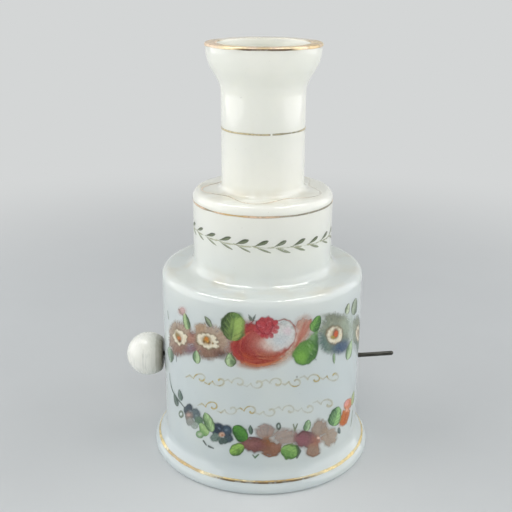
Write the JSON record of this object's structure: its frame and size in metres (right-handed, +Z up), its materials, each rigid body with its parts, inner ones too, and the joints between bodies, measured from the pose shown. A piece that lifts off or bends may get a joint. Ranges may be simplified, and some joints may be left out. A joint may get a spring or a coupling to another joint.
{
  "type": "peep box",
  "caption": "Milk glass peep box: a stepped round case with an eye lens in its flared neck and a side knob that turns a triangular picture drum inside.",
  "frame": {"origin": "on the case's axis, level with the underside of the foot", "axes": "+Z up from the foot to the rim, +X along the spindle from the knob to the bare wire end, -Y towards the pictured front"},
  "size_m": [0.0806, 0.0656, 0.12],
  "materials": {
    "opaline_glass": "milk white blown glass, polished, with painted garlands and gilt lines",
    "lens_glass": "clear ground lens",
    "cork": "cut cork",
    "brass": "drawn brass wire, dulled",
    "base_wood": "thin planed softwood",
    "cement": "dry plaster cement",
    "base_paper": "matt coloured paper",
    "iron_wire": "dull drawn iron wire, lightly rusted",
    "knob_stone": "turned white alabaster with faint grain",
    "rolled_paper": "rolled and glued paper",
    "block_wood": "sawn softwood",
    "card": "grey-brown card",
    "print_paper": "tinted print on thin paper",
    "binding_paper": "coloured paper strip"
  },
  "bodies": {
    "case": {"glass_body": "opaline_glass", "eye_lens": "lens_glass", "lens_seat_ring": "cork", "lens_split_ring": "brass", "left_bush": "cork", "right_bush": "cork", "base_disc": "base_wood", "base_cement_ring": "cement", "base_paper": "base_paper"},
    "picture_drum": {"spindle": "iron_wire", "knob": "knob_stone", "left_spacer": "rolled_paper", "right_spacer": "rolled_paper", "left_drum_end": "block_wood", "right_drum_end": "block_wood", "picture_card_1": "card", "picture_card_2": "card", "picture_card_3": "card", "picture_print_1": "print_paper", "picture_print_2": "print_paper", "picture_print_3": "print_paper", "corner_binding_1": "binding_paper", "corner_binding_2": "binding_paper", "corner_binding_3": "binding_paper", "card_pins": "brass"}
  },
  "joints": [
    {"name": "spindle_turn", "type": "hinge", "parent": "case", "child": "picture_drum", "pos_m": [0, 0, 0.0276], "axis": [1, 0, 0], "continuous": true}
  ]
}
